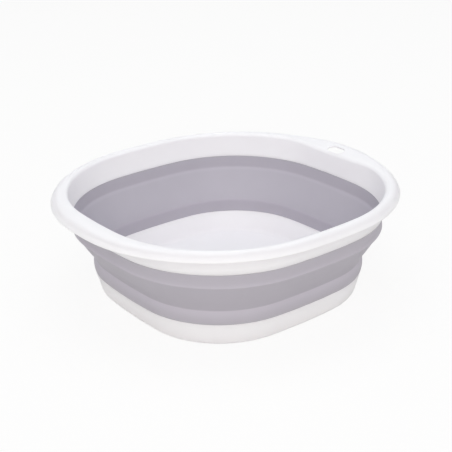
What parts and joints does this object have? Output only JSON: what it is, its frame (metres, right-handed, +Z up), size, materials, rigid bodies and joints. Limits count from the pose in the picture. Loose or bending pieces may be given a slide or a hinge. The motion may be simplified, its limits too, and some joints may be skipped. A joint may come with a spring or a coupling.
{
  "type": "collapsible washbasin",
  "caption": "Collapsible camp washbasin: a rigid white rim and pan joined by a soft grey wall that folds flat, with a hanging slot in the rim.",
  "frame": {"origin": "centre of the pan's flat underside, on the surface that the basin stands on", "axes": "+Z up, +Y towards the side of the rim with the hanging slot, +X along the slot's length"},
  "size_m": [0.359, 0.38, 0.126],
  "materials": {
    "white_plastic": "satin white polypropylene",
    "grey_rubber": "matt grey thermoplastic elastomer"
  },
  "bodies": {
    "base": {"base_pan": "white_plastic", "lower_cuff": "grey_rubber", "fold_web": "grey_rubber"},
    "rim": {"rim_frame": "white_plastic", "upper_cuff": "grey_rubber"}
  },
  "joints": [
    {"name": "collapse", "type": "slide", "parent": "base", "child": "rim", "axis": [0, 0, -1], "range_m": [0, 0.0714], "deforming": ["fold_web"]}
  ]
}
